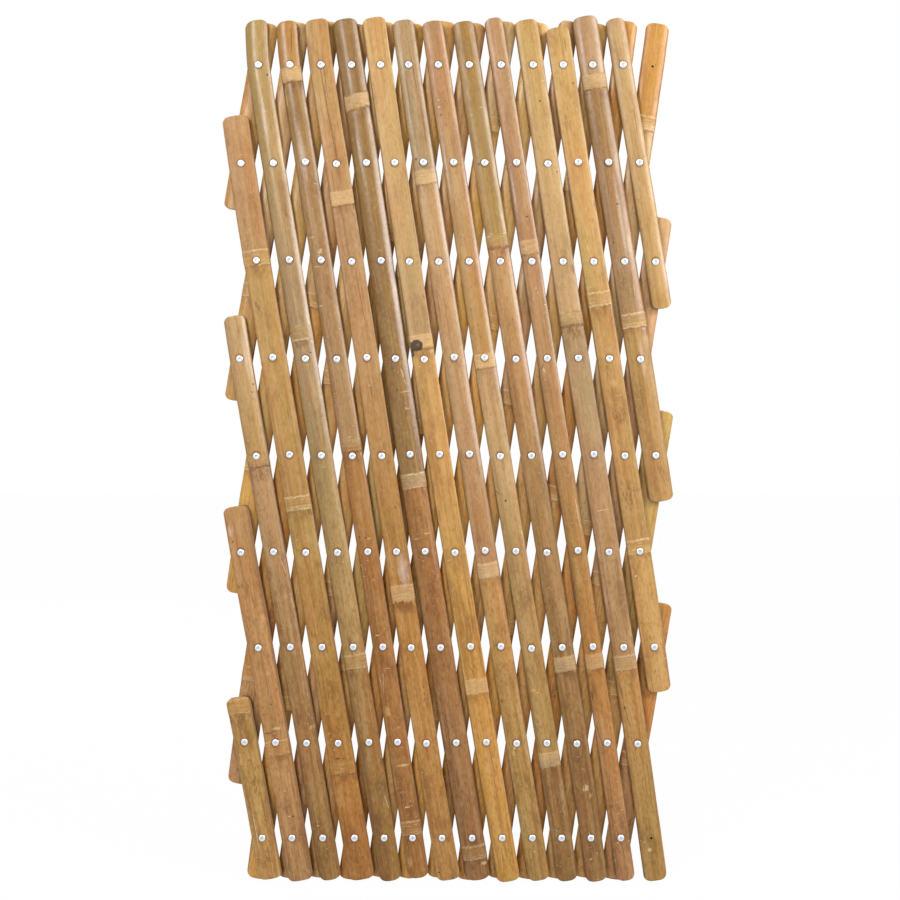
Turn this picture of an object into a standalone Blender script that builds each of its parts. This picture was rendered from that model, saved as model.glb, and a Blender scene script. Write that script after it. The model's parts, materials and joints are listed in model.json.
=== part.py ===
# Expandable garden trellis: two crossed layers of split bamboo laths, riveted where they cross.
# Metres, +Z up. The bamboo's outer skin faces -Y, and the wall plane behind the panel is y = 0.
# The origin is on the wall plane, under the panel's middle, level with the lowest lath end.

from collections import namedtuple
from math import cos, degrees, radians, sin, sqrt

import bmesh
import bpy
from mathutils import Matrix

# Lattice
RIVET_PITCH = 0.100
REST_LEAN = radians(9.0)
ROW_COUNT = 9
LOOSE_ROWS = (0, ROW_COUNT - 1)
FIRST_COLUMN = -1
LAST_COLUMN = 26

# Laths
HALF_WIDTH = 0.0125
CULM_RADIUS = 0.022
BODY_DEPTH = 0.0076
GROOVE_DEPTH = 0.0020
EDGE_LEAN = 0.0008
OVERHANG = 0.0455
CORNER_LENGTH = 0.006
NODE_HALF_LENGTH = 0.0085
FRONT_NODE_RISE = 0.0007
BACK_NODE_RISE = 0.0004
LAYER_GAP = 0.0007

# Rivets and their holes
HEAD_RADIUS = 0.0038
HEAD_RISE = 0.0014
HEAD_SINK = 0.0002
HEAD_FLAT_SHARE = 0.45
SHANK_RADIUS = 0.0016
TAIL_RADIUS = 0.0030
TAIL_LENGTH = 0.0013
HOLE_RADIUS = 0.0022
PILOT_RADIUS = 0.0016
FIT_GAP = 0.0003
ROUND_SIDES = 6
MERGE_LIMIT = 0.00001

# The first front lath starts four rivet spacings left of the top row, the first back lath at its left end.
FIRST_FRONT = -4
FIRST_BACK = 0

# Shares of a half width: the flat seat on the crown, the groove behind, and the cut corners of an end
SEAT_SHARE = 0.42
GROOVE_EDGE_SHARE = 0.72
GROOVE_ROOF_SHARE = 0.45
CORNER_SHARE = 0.40

# Laths from left to right. The columns are: half widths left and right of the rivets, as shares of
# HALF_WIDTH; the bow's radius, as a share of CULM_RADIUS; the upper and lower ends beyond the last
# rivets, as shares of OVERHANG; the row of the rivet the lath hinges on; its tone; and its nodes'
# places in rivet pitches below the top row.
FRONT_LATH_SHARES = [
    (0.87, 1.09, 1.30, 1.04, 0.96, 7, "straw", (6.62,)),
    (0.89, 1.20, 1.60, 1.02, 1.00, 6, "pink", (7.06,)),
    (0.85, 0.95, 0.80, 0.96, 0.98, 5, "tan", (4.06,)),
    (1.04, 1.12, 1.50, 1.06, 0.97, 4, "tan", (1.97, 4.50, 7.27)),
    (0.95, 0.90, 0.85, 1.00, 1.00, 4, "olive", (2.74, 6.15)),
    (0.84, 0.86, 0.85, 0.98, 0.93, 4, "russet", (0.10, 3.90, 7.90)),
    (0.95, 0.95, 1.60, 1.02, 0.98, 8, "tan", (1.36, 5.44)),
    (1.09, 0.98, 0.90, 1.03, 0.98, 7, "russet", (0.37, 4.27, 8.16)),
    (1.00, 0.90, 1.80, 1.06, 1.01, 6, "straw", (2.83, 6.41)),
    (0.87, 0.92, 1.00, 1.00, 0.99, 5, "olive", (1.14, 5.20)),
    (0.88, 0.87, 0.95, 0.98, 1.00, 4, "russet", (3.03, 7.18)),
    (0.87, 0.94, 1.00, 0.97, 1.01, 3, "olive", (1.80, 6.18)),
    (0.82, 0.72, 0.90, 1.05, 0.99, 2, "russet", (1.86, 6.15)),
    (1.02, 0.89, 1.20, 1.01, 0.99, 1, "straw", (2.60, 6.16)),
    (1.02, 0.91, 1.50, 0.84, 1.02, 0, "straw", (2.39, 4.95)),
    (1.06, 0.96, 1.00, 1.09, 1.05, 2, "russet", (0.17, 2.61)),
    (0.84, 0.76, 1.00, 1.04, 1.07, 1, "straw", ()),
]
BACK_LATH_SHARES = [
    (0.97, 0.97, 1.20, 0.98, 1.02, 0, "tan", ()),
    (0.84, 0.98, 1.00, 1.00, 0.96, 1, "tan", ()),
    (0.89, 0.95, 1.10, 1.02, 0.98, 0, "olive", ()),
    (1.08, 1.02, 1.30, 0.96, 1.00, 1, "russet", (2.40,)),
    (0.97, 0.86, 1.00, 1.00, 1.01, 2, "tan", ()),
    (0.85, 0.85, 0.90, 0.97, 0.99, 3, "straw", ()),
    (1.03, 1.01, 1.40, 1.02, 0.98, 4, "olive", ()),
    (0.86, 0.84, 0.95, 0.98, 1.02, 5, "russet", ()),
    (1.03, 0.76, 1.10, 1.01, 0.97, 6, "tan", (0.58,)),
    (0.97, 0.80, 1.00, 0.99, 1.00, 7, "straw", (2.62,)),
    (0.80, 0.80, 0.85, 1.03, 0.98, 8, "russet", (3.40,)),
    (0.84, 0.91, 1.20, 0.97, 1.03, 4, "straw", ()),
    (0.82, 0.80, 1.00, 1.02, 0.99, 4, "russet", ()),
    (0.95, 0.94, 1.10, 0.97, 1.01, 4, "russet", (0.57, 4.75)),
    (0.99, 0.95, 1.40, 1.00, 1.00, 4, "tan", (5.30,)),
    (1.08, 1.04, 1.50, 1.01, 0.98, 5, "olive", (6.45,)),
    (1.06, 1.06, 1.30, 0.99, 1.02, 7, "russet", ()),
]

SKIN_TONES = {
    "straw": (0.59, 0.37, 0.15),
    "tan": (0.48, 0.27, 0.11),
    "pink": (0.50, 0.24, 0.11),
    "olive": (0.35, 0.23, 0.10),
    "russet": (0.38, 0.18, 0.07),
}
SKIN_ROUGHNESS = 0.45
RIVET_TONE = (0.78, 0.80, 0.84)
RIVET_ROUGHNESS = 0.30

COLUMN_PITCH = RIVET_PITCH * sin(REST_LEAN)
ROW_PITCH = RIVET_PITCH * cos(REST_LEAN)
MIDDLE_COLUMN = (FIRST_COLUMN + LAST_COLUMN) / 2
LAST_ROW = ROW_COUNT - 1
LAYER_PITCH = BODY_DEPTH + LAYER_GAP
FRONT_CROWN = LAYER_PITCH + BODY_DEPTH
LAY_ALONG_Y = Matrix.Rotation(radians(90), 4, "X")

Lath = namedtuple("Lath", "name left right bow upper lower hinge_row tone nodes index step base rise lands")


def clear_scene():
    for item in list(bpy.data.objects):
        bpy.data.objects.remove(item, do_unlink=True)


def new_collection(name):
    collection = bpy.data.collections.new(name)
    bpy.context.scene.collection.children.link(collection)
    return collection


def material(name, colour, roughness, metallic=0):
    made = bpy.data.materials.new(name)
    made.use_nodes = True
    shader = made.node_tree.nodes["Principled BSDF"]
    shader.inputs["Base Color"].default_value = (*colour, 1)
    shader.inputs["Roughness"].default_value = roughness
    shader.inputs["Metallic"].default_value = metallic
    return made


def place(name, mesh, collection, location, lean=0):
    piece = bpy.data.objects.new(name, mesh)
    piece.location = location
    piece.rotation_euler = (0, lean, 0)
    collection.objects.link(piece)
    return piece


# Down a front lath each rivet is one column further right, and down a back lath one further left.
def column_on(lath, row):
    return 2 * lath.index + lath.step * row


def rows_of(lath):
    return [row for row in range(ROW_COUNT) if FIRST_COLUMN <= column_on(lath, row) <= LAST_COLUMN]


def layer(name, table, first_index, *traits):
    return [
        Lath(f"{name}_lath_{number:02d}", *shares, first_index + number - 1, *traits)
        for number, shares in enumerate(table, 1)
    ]


# The traits are the step along a row for each row down, the rear plane's distance from the wall,
# how far the nodes rise, and whether flat lands are left beside the groove.
FRONT_LATHS = layer("front", FRONT_LATH_SHARES, FIRST_FRONT, 1, LAYER_PITCH, FRONT_NODE_RISE, False)
BACK_LATHS = layer("back", BACK_LATH_SHARES, FIRST_BACK, -1, 0, BACK_NODE_RISE, True)


# How far a lath that reaches the last row hangs below it, at the lower corner of its slanting end
def reach_below(lath):
    low_side = lath.left if lath.step > 0 else lath.right
    corner = low_side * HALF_WIDTH * (1 - CORNER_SHARE)
    return lath.lower * OVERHANG * cos(REST_LEAN) + corner * sin(REST_LEAN)


FOOT_HEIGHT = max(reach_below(lath) for lath in FRONT_LATHS + BACK_LATHS if LAST_ROW in rows_of(lath))


def rivet_point(row, column):
    across = (column - MIDDLE_COLUMN) * COLUMN_PITCH
    return (across, 0, FOOT_HEIGHT + (LAST_ROW - row) * ROW_PITCH)


def laths_cross(row, column):
    front = (column - row) // 2 - FIRST_FRONT
    back = (column + row) // 2 - FIRST_BACK
    return front in range(len(FRONT_LATHS)) and back in range(len(BACK_LATHS))


# How far a round culm falls away from its crown at a distance across
def culm_drop(radius, across):
    return radius - sqrt(radius**2 - across**2)


# One half of a lath's section as (across, forward), from the groove's roof round the edge to the seat
def half_section(lath, half, swell):
    radius = lath.bow * CULM_RADIUS
    floor_half = half - EDGE_LEAN
    seat = half * SEAT_SHARE
    drop = culm_drop(radius, half) - culm_drop(radius, seat)
    land = [(floor_half * GROOVE_EDGE_SHARE, 0)] if lath.lands else []
    return [
        (floor_half * GROOVE_ROOF_SHARE, GROOVE_DEPTH),
        *land,
        (floor_half, 0),
        (half, BODY_DEPTH + swell - drop),
        (seat, BODY_DEPTH + swell),
    ]


def section_ring(lath, kept, swell, height):
    right_side = half_section(lath, lath.right * HALF_WIDTH * kept, swell)
    left_side = half_section(lath, lath.left * HALF_WIDTH * kept, swell)
    ring = right_side + [(-across, forward) for across, forward in left_side[::-1]]
    return [(across, -lath.base - forward, height) for across, forward in ring]


# The share of a half width that is left at a distance from the lath's end
def width_kept(distance):
    return 1 - CORNER_SHARE * max(0, 1 - distance / CORNER_LENGTH)


def node_swell(height, node_heights, rise):
    nearest = min((abs(height - node) for node in node_heights), default=NODE_HALF_LENGTH)
    return rise * max(0, 1 - nearest / NODE_HALF_LENGTH)


# Heights along a lath are measured from the rivet that it hinges on.
def height_of(lath, row):
    return (lath.hinge_row - row) * RIVET_PITCH


def section_heights(top, bottom, node_heights):
    heights = [top, top - CORNER_LENGTH, bottom + CORNER_LENGTH, bottom]
    for node in node_heights:
        heights += [node - NODE_HALF_LENGTH, node, node + NODE_HALF_LENGTH]
    return sorted(height for height in heights if bottom <= height <= top)


def finish_mesh(name, bm):
    mesh = bpy.data.meshes.new(name)
    bm.to_mesh(mesh)
    bm.free()
    mesh.shade_smooth()
    mesh.set_sharp_from_angle(angle=radians(30))
    return mesh


# A loft between unlike sections: the ends' corners are cut, and the nodes stand proud of the skin.
def lath_mesh(lath):
    rows = rows_of(lath)
    top = height_of(lath, rows[0]) + lath.upper * OVERHANG
    bottom = height_of(lath, rows[-1]) - lath.lower * OVERHANG
    node_heights = [height_of(lath, node) for node in lath.nodes]
    bm = bmesh.new()
    rings = []
    for height in section_heights(top, bottom, node_heights):
        kept = width_kept(min(top - height, height - bottom))
        swell = node_swell(height, node_heights, lath.rise)
        rings.append([bm.verts.new(point) for point in section_ring(lath, kept, swell, height)])
    for low, high in zip(rings, rings[1:]):
        for n, corner in enumerate(low):
            bm.faces.new((low[n - 1], corner, high[n], high[n - 1]))
    bm.faces.new(rings[0])
    bm.faces.new(rings[-1])
    bmesh.ops.recalc_face_normals(bm, faces=bm.faces)
    return finish_mesh(lath.name, bm)


# A rivet is turned from its profile with its head up, capped, and then laid along Y.
def rivet_mesh(name, seat):
    head_top = FRONT_CROWN + HEAD_RISE
    tail_top = GROOVE_DEPTH - FIT_GAP
    profile = [
        (HEAD_RADIUS * HEAD_FLAT_SHARE, 0, head_top),
        (HEAD_RADIUS, 0, seat),
        (SHANK_RADIUS, 0, seat),
        (SHANK_RADIUS, 0, tail_top),
        (TAIL_RADIUS, 0, tail_top - TAIL_LENGTH),
    ]
    outline = bpy.data.meshes.new(name)
    outline.from_pydata(profile, [(n, n + 1) for n in range(len(profile) - 1)], [])
    turned = bpy.data.objects.new(name, outline)
    bpy.context.scene.collection.objects.link(turned)
    screw = turned.modifiers.new("turn", "SCREW")
    screw.steps = ROUND_SIDES
    screw.render_steps = ROUND_SIDES
    screw.use_merge_vertices = True
    screw.merge_threshold = MERGE_LIMIT
    bm = bmesh.new()
    bm.from_object(turned, bpy.context.evaluated_depsgraph_get())
    bpy.data.objects.remove(turned, do_unlink=True)
    bmesh.ops.holes_fill(bm, edges=bm.edges)
    bmesh.ops.recalc_face_normals(bm, faces=bm.faces)
    bm.transform(LAY_ALONG_Y)
    return finish_mesh(name, bm)


def drill_mesh(name, radius):
    bm = bmesh.new()
    bmesh.ops.create_cone(
        bm, cap_ends=True, segments=ROUND_SIDES, radius1=radius, radius2=radius, depth=2 * FRONT_CROWN,
        matrix=Matrix.Translation((0, -FRONT_CROWN / 2, 0)) @ LAY_ALONG_Y,
    )
    return finish_mesh(name, bm)


# Copies of one mesh along a lath, one on each of the rows
def copies_on_rows(mesh, lath, rows):
    bm = bmesh.new()
    for row in rows:
        start = len(bm.verts)
        bm.from_mesh(mesh)
        bm.verts.ensure_lookup_table()
        bmesh.ops.translate(bm, verts=bm.verts[start:], vec=(0, 0, height_of(lath, row)))
    return finish_mesh(mesh.name, bm)


def combine(target, mesh, operation, collection):
    tool = place(mesh.name, mesh, collection, target.location, target.rotation_euler.y)
    tool.hide_render = True
    tool.display_type = "WIRE"
    change = target.modifiers.new(mesh.name, "BOOLEAN")
    change.operation = operation
    change.solver = "EXACT"
    change.object = tool


# Every back lath is drilled at its rivets. A front lath is drilled for its loose rivets, and the rest
# are one with it. A pilot hole is where a lath has no partner to be riveted to.
def build_lath(lath, parts, cutters):
    mesh = lath_mesh(lath)
    mesh.materials.append(material(lath.name, SKIN_TONES[lath.tone], SKIN_ROUGHNESS))
    where = rivet_point(lath.hinge_row, column_on(lath, lath.hinge_row))
    piece = place(lath.name, mesh, parts, where, -lath.step * REST_LEAN)
    riveted = [row for row in rows_of(lath) if laths_cross(row, column_on(lath, row))]
    pilots = [row for row in rows_of(lath) if row not in riveted]
    fixed = [row for row in riveted if row not in LOOSE_ROWS] if lath.step > 0 else []
    drilled = [row for row in riveted if row not in fixed]
    if drilled:
        holes = copies_on_rows(drill_mesh(f"{lath.name}_holes", HOLE_RADIUS), lath, drilled)
        combine(piece, holes, "DIFFERENCE", cutters)
    if pilots:
        holes = copies_on_rows(drill_mesh(f"{lath.name}_pilot", PILOT_RADIUS), lath, pilots)
        combine(piece, holes, "DIFFERENCE", cutters)
    if fixed:
        rivets = copies_on_rows(rivet_mesh(f"{lath.name}_rivets", FRONT_CROWN - HEAD_SINK), lath, fixed)
        combine(piece, rivets, "UNION", cutters)


def build_loose_rivets(row_name, row, parts):
    mesh = rivet_mesh(f"{row_name}_rivet", FRONT_CROWN + FIT_GAP)
    columns = [column_on(lath, row) for lath in FRONT_LATHS if row in rows_of(lath)]
    columns = [column for column in columns if laths_cross(row, column)]
    for number, column in enumerate(columns, 1):
        name = f"{row_name}_rivet_{number:02d}"
        own = mesh.copy()
        own.materials.append(material(name, RIVET_TONE, RIVET_ROUGHNESS, metallic=1))
        place(name, own, parts, rivet_point(row, column))


def build_trellis():
    clear_scene()
    parts = new_collection("expandable_trellis")
    cutters = new_collection("cutters")
    for lath in FRONT_LATHS + BACK_LATHS:
        build_lath(lath, parts, cutters)
    for row_name, row in zip(("top", "foot"), LOOSE_ROWS):
        build_loose_rivets(row_name, row, parts)
    print("trellis built, with laths leaning", round(degrees(REST_LEAN)), "degrees")


build_trellis()
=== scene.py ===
import json
import math
import random

import bmesh
import bpy
import numpy as np
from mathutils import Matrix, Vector

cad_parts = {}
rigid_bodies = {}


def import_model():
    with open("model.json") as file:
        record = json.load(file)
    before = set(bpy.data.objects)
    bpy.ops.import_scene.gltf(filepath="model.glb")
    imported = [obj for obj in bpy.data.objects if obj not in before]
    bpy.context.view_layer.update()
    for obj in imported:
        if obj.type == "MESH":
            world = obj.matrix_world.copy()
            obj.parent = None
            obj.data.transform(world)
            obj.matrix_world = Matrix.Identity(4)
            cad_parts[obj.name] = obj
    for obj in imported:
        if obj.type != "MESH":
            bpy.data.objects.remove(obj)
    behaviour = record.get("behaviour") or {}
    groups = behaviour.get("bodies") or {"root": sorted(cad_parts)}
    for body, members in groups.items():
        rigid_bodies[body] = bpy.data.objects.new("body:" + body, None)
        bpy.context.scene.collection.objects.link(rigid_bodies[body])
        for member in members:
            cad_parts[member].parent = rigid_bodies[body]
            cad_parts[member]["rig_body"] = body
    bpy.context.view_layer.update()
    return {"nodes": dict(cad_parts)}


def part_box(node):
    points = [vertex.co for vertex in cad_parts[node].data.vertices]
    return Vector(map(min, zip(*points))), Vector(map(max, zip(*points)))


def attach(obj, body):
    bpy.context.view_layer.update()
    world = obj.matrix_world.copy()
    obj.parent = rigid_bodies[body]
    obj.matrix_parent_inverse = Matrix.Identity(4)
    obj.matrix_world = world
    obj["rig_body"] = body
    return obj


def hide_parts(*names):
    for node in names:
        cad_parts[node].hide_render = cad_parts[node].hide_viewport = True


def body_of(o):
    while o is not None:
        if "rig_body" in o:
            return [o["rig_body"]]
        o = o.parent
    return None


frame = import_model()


# The lattice, measured on the frame: rows run down, columns run to the right in half steps
def middleOf(node):
    low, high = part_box(node)
    return [(a + b) / 2 for a, b in zip(low, high)]


rowSteps = 8
topLeft = middleOf("top_rivet_01")
topNext = middleOf("top_rivet_02")
footLeft = middleOf("foot_rivet_01")
columnPitch = (topNext[0] - topLeft[0]) / 2
rowPitch = (topLeft[2] - footLeft[2]) / rowSteps
lean = math.atan2(columnPitch, rowPitch)
rivetPitch = math.hypot(columnPitch, rowPitch)
columnRange = (-1, 26)
frontLaths = [f"front_lath_{n:02d}" for n in range(1, 18)]
backLaths = [f"back_lath_{n:02d}" for n in range(1, 18)]
firstOfLayer = {"front": 5, "back": 1}    # the lath of each layer that starts on column 0
slopeOfLayer = {"front": 1, "back": -1}    # a front lath runs down to the right


def rivetAt(row, column):
    return topLeft[0] + column * columnPitch, topLeft[2] - row * rowPitch


# The laths are sprung a little out of true: millimetres to the right, at even places from left to right.
# A few tips stand up straighter than their laths.
springValues = {
    "reach": 0.21, "tipReach": 0.045, "tipPower": 1.4,
    "top": (2.6, 3.6, 2.8, -2.1, -2.8, -0.8, -3.2, -4.0),
    "middle": (-2.2, 2.2, 2.9, -1.0, -2.4, -1.7, -0.5, 0.2),
    "foot": (3.3, 2.4, 4.4, 1.2, 0.4, -0.1, -2.2, -2.6),
}


def curveThrough(values, place):
    ends = np.concatenate([[2 * values[0] - values[1]], values, [2 * values[-1] - values[-2]]])
    first = np.clip(np.floor(place).astype(int), 0, len(values) - 2)
    step = place - first
    a, b, c, d = ends[first], ends[first + 1], ends[first + 2], ends[first + 3]
    return b + 0.5 * step * (c - a + step * (2 * a - 5 * b + 4 * c - d + step * (3 * (b - c) + d - a)))


def sprungAside(x, z):
    form = springValues
    steps = len(form["top"]) - 1
    place = np.clip((x + form["reach"]) / (2 * form["reach"]) * steps, 0, steps)
    depth = np.clip((topLeft[2] - z) / (rowSteps * rowPitch) * 2, -0.1, 2.1)
    top, middle, foot = [curveThrough(np.array(form[key]), place) for key in ("top", "middle", "foot")]
    bent = top * (depth - 1) * (depth - 2) - 2 * middle * depth * (depth - 2) + foot * depth * (depth - 1)
    return 0.001 * bent / 2


# A lath's own push to the right: the shared spring, and for some a tip that stands up straighter
def pushedAside(name, look, along):
    start, down, _ = lathLine(name)
    line = start + np.outer(along, down)
    tip = np.clip(-along / springValues["tipReach"], 0, 1) ** springValues["tipPower"]
    return line, sprungAside(line[:, 0], line[:, 1]) + look.get("topBend", 0) * tip


def newObject(name, data):
    thing = bpy.data.objects.new(name, data)
    bpy.context.scene.collection.objects.link(thing)
    return thing


def layerOf(name):
    return name.split("_lath_")[0]


def firstColumn(name):
    return 2 * (int(name[-2:]) - firstOfLayer[layerOf(name)])


# Where a lath's own line crosses row 0, and which way it runs
def lathLine(name):
    slope = slopeOfLayer[layerOf(name)]
    start = np.array(rivetAt(0, firstColumn(name)))
    down = np.array([slope * math.sin(lean), -math.cos(lean)])
    across = np.array([math.cos(lean), slope * math.sin(lean)])
    return start, down, across


def pointsOf(mesh):
    points = np.empty(len(mesh.vertices) * 3)
    mesh.vertices.foreach_get("co", points)
    return points.reshape(-1, 3)


# A lath's ends, half widths and depths, read from the frame's own solid
measureValues = {"wallFrom": 0.0065, "rimFrom": 0.985}


def lathMeasures(name):
    start, down, across = lathLine(name)
    points = pointsOf(frame["nodes"][name].data)
    flat = points[:, [0, 2]] - start
    along, side, forward = flat @ down, flat @ across, -points[:, 1]
    rear = forward[np.abs(side) > measureValues["wallFrom"]].min()
    left, right = -side.min(), side.max()
    leftEdge = forward[side < -measureValues["rimFrom"] * left].max() - rear
    rightEdge = forward[side > measureValues["rimFrom"] * right].max() - rear
    return {
        "top": along.min(), "bottom": along.max(), "left": left, "right": right,
        "rear": rear, "leftEdge": leftEdge, "rightEdge": rightEdge,
    }


# The middle rows in which a front lath has its rivets; the top and foot rows have loose ones
def middleRows(name):
    low, high = columnRange
    return [row for row in range(1, rowSteps) if low <= firstColumn(name) + row <= high]


# The blank that every lath is cut from: a bar with many stations, in shares of a lath's size
blankValues = {"stationCuts": (3, 59), "acrossCuts": 13, "sideCuts": 2}


def cutAlong(thing, axis, cuts):
    bpy.ops.mesh.select_all(action="DESELECT")
    mesh = bmesh.from_edit_mesh(thing.data)
    for edge in mesh.edges:
        way = edge.verts[1].co - edge.verts[0].co
        edge.select_set(abs(way[axis]) > 0.9 * way.length)
    bmesh.update_edit_mesh(thing.data)
    bpy.ops.mesh.subdivide(number_cuts=cuts)


def makeBlank(values):
    bpy.ops.object.select_all(action="DESELECT")
    bpy.ops.mesh.primitive_cube_add(size=1, location=(0, -0.5, 0.5), scale=(2, 1, 1))
    bpy.ops.object.transform_apply(location=True, rotation=True, scale=True)
    thing = bpy.context.object
    thing.name = "lath_blank"
    bpy.ops.object.mode_set(mode="EDIT")
    bpy.context.tool_settings.mesh_select_mode = (False, True, False)
    for cuts in values["stationCuts"]:
        cutAlong(thing, 2, cuts)
    cutAlong(thing, 0, values["acrossCuts"])
    cutAlong(thing, 1, values["sideCuts"])
    bpy.ops.object.mode_set(mode="OBJECT")
    return thing


# What shapes the culm wall: shares of the lath's own width and depth, and lengths in metres
culmValues = {
    "depth": 0.0076, "crownPower": 2.0, "roundDrop": 0.0013, "spreadPower": 1.6,
    "edgeShare": 0.94, "edgeRound": 0.0005, "edgeLean": 0.0008, "leanPower": 8,
    "cornerRadius": 0.0056, "endCrown": 0.0011, "crownReach": 0.02, "endRound": 0.0005, "roundReach": 0.0009,
    "hollow": 0.0020, "hollowShare": 0.74, "wallLeft": 0.75, "wallReach": 0.0032,
    "widthWave": 0.00022, "depthWave": 0.00012,
    "nodeHalf": 0.0078, "nodeEdge": 0.0014, "nodeWiden": 0.00025, "nodeWobble": 0.0006,
    "wobbleLengths": (0.02, 0.011, 0.006), "ridgeFall": 0.25,
    "frontNodeRise": 0.00062, "backNodeRise": 0.00038,
    "scarDepth": 0.00028, "scarAt": 1.05, "scarReach": 0.0009, "smoothAngle": 40,
}
# Stations crowd at the nodes and the ends, each within its reach
stationValues = {"samples": 6000, "nodeCrowd": 5, "nodeReach": 0.011, "endCrowd": 6, "endReach": 0.004}


def smooth(value):
    value = np.clip(value, 0, 1)
    return value * value * (3 - 2 * value)


def wave(dice, along, lengths=(0.31, 0.17, 0.083, 0.041)):
    total = 0
    for length in lengths:
        height = math.sqrt(length / lengths[0])
        total = total + height * np.sin(2 * math.pi * (along / length + dice.random()))
    return total / 2


def spreadStations(top, bottom, nodes):
    form = stationValues
    fine = np.linspace(top, bottom, form["samples"])
    crowd = np.ones_like(fine)
    for node in nodes:
        crowd += form["nodeCrowd"] * np.exp(-((fine - node) / form["nodeReach"]) ** 4)
    for end in (top, bottom):
        crowd += form["endCrowd"] * np.exp(-np.abs(fine - end) / form["endReach"])
    run = np.concatenate([[0], np.cumsum((crowd[1:] + crowd[:-1]) / 2)])
    return run / run[-1], fine


def shapeLath(name, look):
    form = culmValues
    size = lathMeasures(name)
    across = lathLine(name)[2]
    dice = random.Random(name)
    thing = newObject(name.replace("lath", "culm"), blank.data.copy())
    share = pointsOf(thing.data)
    side, front, height = share[:, 0], -share[:, 1], share[:, 2]
    nodes = [node["row"] * rivetPitch for node in look["nodes"]]
    runs, places = spreadStations(size["top"], size["bottom"], nodes)
    along = np.interp(1 - height, runs, places)

    spread = np.sign(side) * (1 - (1 - np.abs(side)) ** form["spreadPower"])
    half = np.where(side < 0, size["left"] + form["widthWave"] * wave(dice, along),
                    size["right"] + form["widthWave"] * wave(dice, along))
    fromEnd = np.minimum(along - size["top"], size["bottom"] - along)
    corner = np.clip(form["cornerRadius"] - fromEnd, 0, form["cornerRadius"])
    kept = form["cornerRadius"] - np.sqrt(form["cornerRadius"] ** 2 - corner ** 2)
    rise = form["frontNodeRise"] if slopeOfLayer[layerOf(name)] > 0 else form["backNodeRise"]
    ridge, wall, widen = 0 * along, 0 * along, 0 * along
    for node in look["nodes"]:
        tilt = node.get("tilt", 0)
        away = along - node["row"] * rivetPitch - tilt * spread * half
        wobble = form["nodeWobble"] * wave(dice, spread * half, form["wobbleLengths"])
        reach = form["nodeHalf"] * node.get("tall", 1)
        band = smooth((reach - np.abs(away + wobble)) / form["nodeEdge"])
        ridge = ridge + rise * node.get("rise", 1) * band * (1 - form["ridgeFall"] * (away / reach) ** 2)
        scar = np.exp(-((away - reach * form["scarAt"] + wobble) / form["scarReach"]) ** 2)
        ridge = ridge - form["scarDepth"] * scar
        wall = np.maximum(wall, np.exp(-(away / form["wallReach"]) ** 2))
        widen = widen + form["nodeWiden"] * np.exp(-(away / reach) ** 4)
    halfHere = half + widen - kept
    inward = np.abs(spread) ** form["leanPower"] * form["edgeLean"] * (1 - front)
    u = spread * halfHere - np.sign(side) * inward
    edge = np.where(side < 0, size["leftEdge"], size["rightEdge"])
    outward = np.abs(u) / np.maximum(half, 1e-6)
    crown = form["depth"] + ridge + form["depthWave"] * wave(dice, along)
    curved = look.get("round", 0.5)
    drop = form["depth"] - edge + form["roundDrop"] * curved
    drop = drop * outward ** (form["crownPower"] * (1.85 - 0.85 * curved))
    turned = np.clip((np.abs(spread) - form["edgeShare"]) / (1 - form["edgeShare"]), 0, 1)
    turned = form["edgeRound"] * (1 - np.sqrt(1 - turned ** 2))
    lip = form["endRound"] * np.clip(1 - fromEnd / form["roundReach"], 0, 1) ** 2
    face = crown - drop - turned - lip
    hollow = np.clip(1 - (outward / form["hollowShare"]) ** 2, 0, 1) * (1 - form["wallLeft"] * wall)
    back = form["hollow"] * hollow + 0.5 * lip
    forward = back + (face - back) * front
    crownEnd = form["endCrown"] * outward ** 2 * np.clip(1 - fromEnd / form["crownReach"], 0, 1)
    along = along + np.where(along - size["top"] < size["bottom"] - along, crownEnd, -crownEnd)

    line, aside = pushedAside(name, look, along)
    flat = line + np.outer(u, across)
    placed = np.stack([flat[:, 0] + aside, -size["rear"] - forward, flat[:, 1]], axis=1)
    thing.data.vertices.foreach_set("co", placed.ravel())
    thing.data.update()
    return thing


# Each point's own place on its lath (across, depth, distance down), for the skin to follow
def markPlaces(thing, name, look):
    start, down, across = lathLine(name)
    size = lathMeasures(name)
    points = pointsOf(thing.data)
    flat = points[:, [0, 2]] - start
    for _ in range(2):
        line, aside = pushedAside(name, look, flat @ down)
        flat = points[:, [0, 2]] - start - np.stack([aside, 0 * aside], axis=1)
    places = np.stack([flat @ across, -points[:, 1] - size["rear"], flat @ down], axis=1)
    attribute = thing.data.attributes.new("culmPlace", "FLOAT_VECTOR", "POINT")
    attribute.data.foreach_set("vector", places.ravel())


def only(thing):
    bpy.ops.object.select_all(action="DESELECT")
    thing.select_set(True)
    bpy.context.view_layer.objects.active = thing


# A spare hole where the lattice ends and no rivet was set
spareHole = {
    "radius": 0.0015, "rearRadius": 0.0003, "sides": 20, "overrun": 0.001, "clearance": (0.006, 0.008),
    "rows": {"front_lath_14": 8, "back_lath_14": 0},
}


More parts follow.
